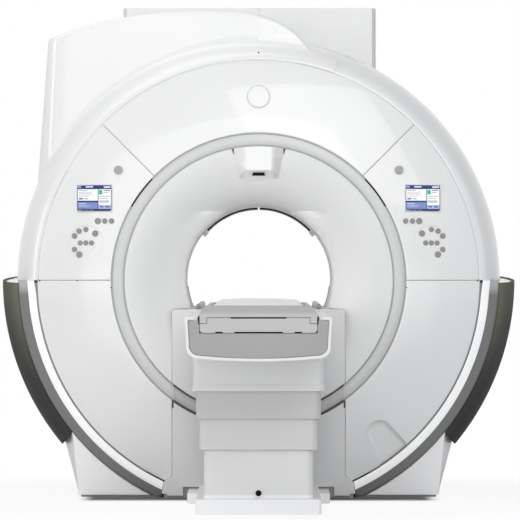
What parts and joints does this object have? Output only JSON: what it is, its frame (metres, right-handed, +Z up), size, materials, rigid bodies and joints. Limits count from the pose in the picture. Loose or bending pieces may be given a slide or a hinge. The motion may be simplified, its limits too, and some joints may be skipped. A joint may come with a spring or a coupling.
{
  "type": "mri scanner",
  "caption": "Magnetic resonance scanner: a ring-shaped gantry with a flared patient bore and side consoles, on floor skirts, with a lifting table whose cradle slides into the bore",
  "frame": {"origin": "middle of the footprint, on the floor", "axes": "+Z up; +Y from the foot end of the table towards the back of the gantry; +X to the right as a visitor faces the machine"},
  "size_m": [2.38, 3.89, 2.273],
  "materials": {
    "white_cover": "satin moulded enclosure cover",
    "tower_cover": "satin light grey",
    "ring_band": "smooth pale grey band",
    "pale_strip": "bright pale strip",
    "grey_trim": "mid grey rolled edge",
    "dark_wing": "dark grey satin",
    "column_grey": "light grey",
    "rail_grey": "dark anodised",
    "screen": "flat screen in a thin frame",
    "key_grey": "grey push key",
    "stop_grey": "grey push button",
    "vessel_steel": "painted vessel",
    "coil_resin": "cast resin",
    "cold_metal": "machined",
    "foot_steel": "painted feet",
    "table_white": "satin white",
    "table_grey": "grey inset panel",
    "cradle_shell": "light grey moulding",
    "pad_cloth": "pale coated cloth over foam"
  },
  "bodies": {
    "gantry": {"magnet_vessel": "vessel_steel", "gradient_coil": "coil_resin", "cold_head": "cold_metal", "magnet_feet": "foot_steel", "bore_tube": "white_cover", "front_flare": "white_cover", "light_ring": "ring_band", "bore_bridge": "cradle_shell", "side_rails": "rail_grey", "column_cover": "column_grey", "top_panel": "white_cover", "console_panel_left": "white_cover", "console_panel_right": "white_cover", "display_units": "screen", "lower_panel_left": "white_cover", "lower_panel_right": "white_cover", "light_strip": "pale_strip", "edge_trim": "grey_trim", "wing_left": "dark_wing", "wing_right": "dark_wing", "base_cover_left": "white_cover", "base_cover_right": "white_cover", "enclosure_left": "white_cover", "enclosure_right": "white_cover", "rear_cover": "white_cover", "service_tower": "tower_cover", "alignment_pod": "white_cover", "table_base": "table_white"},
    "cover_middle": {"lift_cover_middle": "table_white"},
    "cover_upper": {"lift_cover_upper": "table_white"},
    "table_top": {"table_frame": "table_white", "end_panel": "table_grey"},
    "cradle": {"cradle": "cradle_shell", "cradle_pad": "pad_cloth"},
    "left_stop_button_body": {"left_stop_button": "stop_grey"},
    "left_row_key_1_body": {"left_row_key_1": "key_grey"},
    "left_row_key_2_body": {"left_row_key_2": "key_grey"},
    "left_row_key_3_body": {"left_row_key_3": "key_grey"},
    "left_dial_key_1_body": {"left_dial_key_1": "key_grey"},
    "left_dial_key_2_body": {"left_dial_key_2": "key_grey"},
    "left_dial_key_3_body": {"left_dial_key_3": "key_grey"},
    "left_dial_key_4_body": {"left_dial_key_4": "key_grey"},
    "left_dial_key_5_body": {"left_dial_key_5": "key_grey"},
    "left_dial_key_6_body": {"left_dial_key_6": "key_grey"},
    "left_dial_key_7_body": {"left_dial_key_7": "key_grey"},
    "left_dial_key_8_body": {"left_dial_key_8": "key_grey"},
    "left_dial_key_9_body": {"left_dial_key_9": "key_grey"},
    "right_stop_button_body": {"right_stop_button": "stop_grey"},
    "right_row_key_1_body": {"right_row_key_1": "key_grey"},
    "right_row_key_2_body": {"right_row_key_2": "key_grey"},
    "right_row_key_3_body": {"right_row_key_3": "key_grey"},
    "right_dial_key_1_body": {"right_dial_key_1": "key_grey"},
    "right_dial_key_2_body": {"right_dial_key_2": "key_grey"},
    "right_dial_key_3_body": {"right_dial_key_3": "key_grey"},
    "right_dial_key_4_body": {"right_dial_key_4": "key_grey"},
    "right_dial_key_5_body": {"right_dial_key_5": "key_grey"},
    "right_dial_key_6_body": {"right_dial_key_6": "key_grey"},
    "right_dial_key_7_body": {"right_dial_key_7": "key_grey"},
    "right_dial_key_8_body": {"right_dial_key_8": "key_grey"},
    "right_dial_key_9_body": {"right_dial_key_9": "key_grey"}
  },
  "joints": [
    {"name": "table_lift", "type": "slide", "parent": "gantry", "child": "table_top", "axis": [0, 0, 1], "range_m": [-0.33, 0]},
    {"name": "cover_middle_slide", "type": "slide", "parent": "gantry", "child": "cover_middle", "axis": [0, 0, 1], "range_m": [-0.1101, 0]},
    {"name": "cover_upper_slide", "type": "slide", "parent": "gantry", "child": "cover_upper", "axis": [0, 0, 1], "range_m": [-0.2201, 0]},
    {"name": "cradle_slide", "type": "slide", "parent": "table_top", "child": "cradle", "axis": [0, 1, 0], "range_m": [0, 1.7]},
    {"name": "left_stop_button_press", "type": "slide", "parent": "gantry", "child": "left_stop_button_body", "axis": [0.1005, 0.9918, -0.079], "range_m": [0, 0.005], "stiffness_N_per_m": 2500, "springref_m": -0.001},
    {"name": "left_row_key_1_press", "type": "slide", "parent": "gantry", "child": "left_row_key_1_body", "axis": [0.0827, 0.9961, -0.0319], "range_m": [0, 0.0015], "stiffness_N_per_m": 1200, "springref_m": -0.0004},
    {"name": "left_row_key_2_press", "type": "slide", "parent": "gantry", "child": "left_row_key_2_body", "axis": [0.0827, 0.9961, -0.0319], "range_m": [0, 0.0015], "stiffness_N_per_m": 1200, "springref_m": -0.0004},
    {"name": "left_row_key_3_press", "type": "slide", "parent": "gantry", "child": "left_row_key_3_body", "axis": [0.0827, 0.9961, -0.0319], "range_m": [0, 0.0015], "stiffness_N_per_m": 1200, "springref_m": -0.0004},
    {"name": "left_dial_key_1_press", "type": "slide", "parent": "gantry", "child": "left_dial_key_1_body", "axis": [0.1186, 0.9926, -0.026], "range_m": [0, 0.0015], "stiffness_N_per_m": 1200, "springref_m": -0.0004},
    {"name": "left_dial_key_2_press", "type": "slide", "parent": "gantry", "child": "left_dial_key_2_body", "axis": [0.1186, 0.9926, -0.026], "range_m": [0, 0.0015], "stiffness_N_per_m": 1200, "springref_m": -0.0004},
    {"name": "left_dial_key_3_press", "type": "slide", "parent": "gantry", "child": "left_dial_key_3_body", "axis": [0.1186, 0.9926, -0.026], "range_m": [0, 0.0015], "stiffness_N_per_m": 1200, "springref_m": -0.0004},
    {"name": "left_dial_key_4_press", "type": "slide", "parent": "gantry", "child": "left_dial_key_4_body", "axis": [0.1186, 0.9926, -0.026], "range_m": [0, 0.0015], "stiffness_N_per_m": 1200, "springref_m": -0.0004},
    {"name": "left_dial_key_5_press", "type": "slide", "parent": "gantry", "child": "left_dial_key_5_body", "axis": [0.1186, 0.9926, -0.026], "range_m": [0, 0.0015], "stiffness_N_per_m": 1200, "springref_m": -0.0004},
    {"name": "left_dial_key_6_press", "type": "slide", "parent": "gantry", "child": "left_dial_key_6_body", "axis": [0.1186, 0.9926, -0.026], "range_m": [0, 0.0015], "stiffness_N_per_m": 1200, "springref_m": -0.0004},
    {"name": "left_dial_key_7_press", "type": "slide", "parent": "gantry", "child": "left_dial_key_7_body", "axis": [0.1186, 0.9926, -0.026], "range_m": [0, 0.0015], "stiffness_N_per_m": 1200, "springref_m": -0.0004},
    {"name": "left_dial_key_8_press", "type": "slide", "parent": "gantry", "child": "left_dial_key_8_body", "axis": [0.1186, 0.9926, -0.026], "range_m": [0, 0.0015], "stiffness_N_per_m": 1200, "springref_m": -0.0004},
    {"name": "left_dial_key_9_press", "type": "slide", "parent": "gantry", "child": "left_dial_key_9_body", "axis": [0.1186, 0.9926, -0.026], "range_m": [0, 0.0015], "stiffness_N_per_m": 1200, "springref_m": -0.0004},
    {"name": "right_stop_button_press", "type": "slide", "parent": "gantry", "child": "right_stop_button_body", "axis": [-0.1005, 0.9918, -0.079], "range_m": [0, 0.005], "stiffness_N_per_m": 2500, "springref_m": -0.001},
    {"name": "right_row_key_1_press", "type": "slide", "parent": "gantry", "child": "right_row_key_1_body", "axis": [-0.0827, 0.9961, -0.0319], "range_m": [0, 0.0015], "stiffness_N_per_m": 1200, "springref_m": -0.0004},
    {"name": "right_row_key_2_press", "type": "slide", "parent": "gantry", "child": "right_row_key_2_body", "axis": [-0.0827, 0.9961, -0.0319], "range_m": [0, 0.0015], "stiffness_N_per_m": 1200, "springref_m": -0.0004},
    {"name": "right_row_key_3_press", "type": "slide", "parent": "gantry", "child": "right_row_key_3_body", "axis": [-0.0827, 0.9961, -0.0319], "range_m": [0, 0.0015], "stiffness_N_per_m": 1200, "springref_m": -0.0004},
    {"name": "right_dial_key_1_press", "type": "slide", "parent": "gantry", "child": "right_dial_key_1_body", "axis": [-0.1186, 0.9926, -0.026], "range_m": [0, 0.0015], "stiffness_N_per_m": 1200, "springref_m": -0.0004},
    {"name": "right_dial_key_2_press", "type": "slide", "parent": "gantry", "child": "right_dial_key_2_body", "axis": [-0.1186, 0.9926, -0.026], "range_m": [0, 0.0015], "stiffness_N_per_m": 1200, "springref_m": -0.0004},
    {"name": "right_dial_key_3_press", "type": "slide", "parent": "gantry", "child": "right_dial_key_3_body", "axis": [-0.1186, 0.9926, -0.026], "range_m": [0, 0.0015], "stiffness_N_per_m": 1200, "springref_m": -0.0004},
    {"name": "right_dial_key_4_press", "type": "slide", "parent": "gantry", "child": "right_dial_key_4_body", "axis": [-0.1186, 0.9926, -0.026], "range_m": [0, 0.0015], "stiffness_N_per_m": 1200, "springref_m": -0.0004},
    {"name": "right_dial_key_5_press", "type": "slide", "parent": "gantry", "child": "right_dial_key_5_body", "axis": [-0.1186, 0.9926, -0.026], "range_m": [0, 0.0015], "stiffness_N_per_m": 1200, "springref_m": -0.0004},
    {"name": "right_dial_key_6_press", "type": "slide", "parent": "gantry", "child": "right_dial_key_6_body", "axis": [-0.1186, 0.9926, -0.026], "range_m": [0, 0.0015], "stiffness_N_per_m": 1200, "springref_m": -0.0004},
    {"name": "right_dial_key_7_press", "type": "slide", "parent": "gantry", "child": "right_dial_key_7_body", "axis": [-0.1186, 0.9926, -0.026], "range_m": [0, 0.0015], "stiffness_N_per_m": 1200, "springref_m": -0.0004},
    {"name": "right_dial_key_8_press", "type": "slide", "parent": "gantry", "child": "right_dial_key_8_body", "axis": [-0.1186, 0.9926, -0.026], "range_m": [0, 0.0015], "stiffness_N_per_m": 1200, "springref_m": -0.0004},
    {"name": "right_dial_key_9_press", "type": "slide", "parent": "gantry", "child": "right_dial_key_9_body", "axis": [-0.1186, 0.9926, -0.026], "range_m": [0, 0.0015], "stiffness_N_per_m": 1200, "springref_m": -0.0004}
  ],
  "couplings": [
    {"joint": "cover_middle_slide", "follows": "table_lift", "ratio": 0.33333},
    {"joint": "cover_upper_slide", "follows": "table_lift", "ratio": 0.66667}
  ]
}
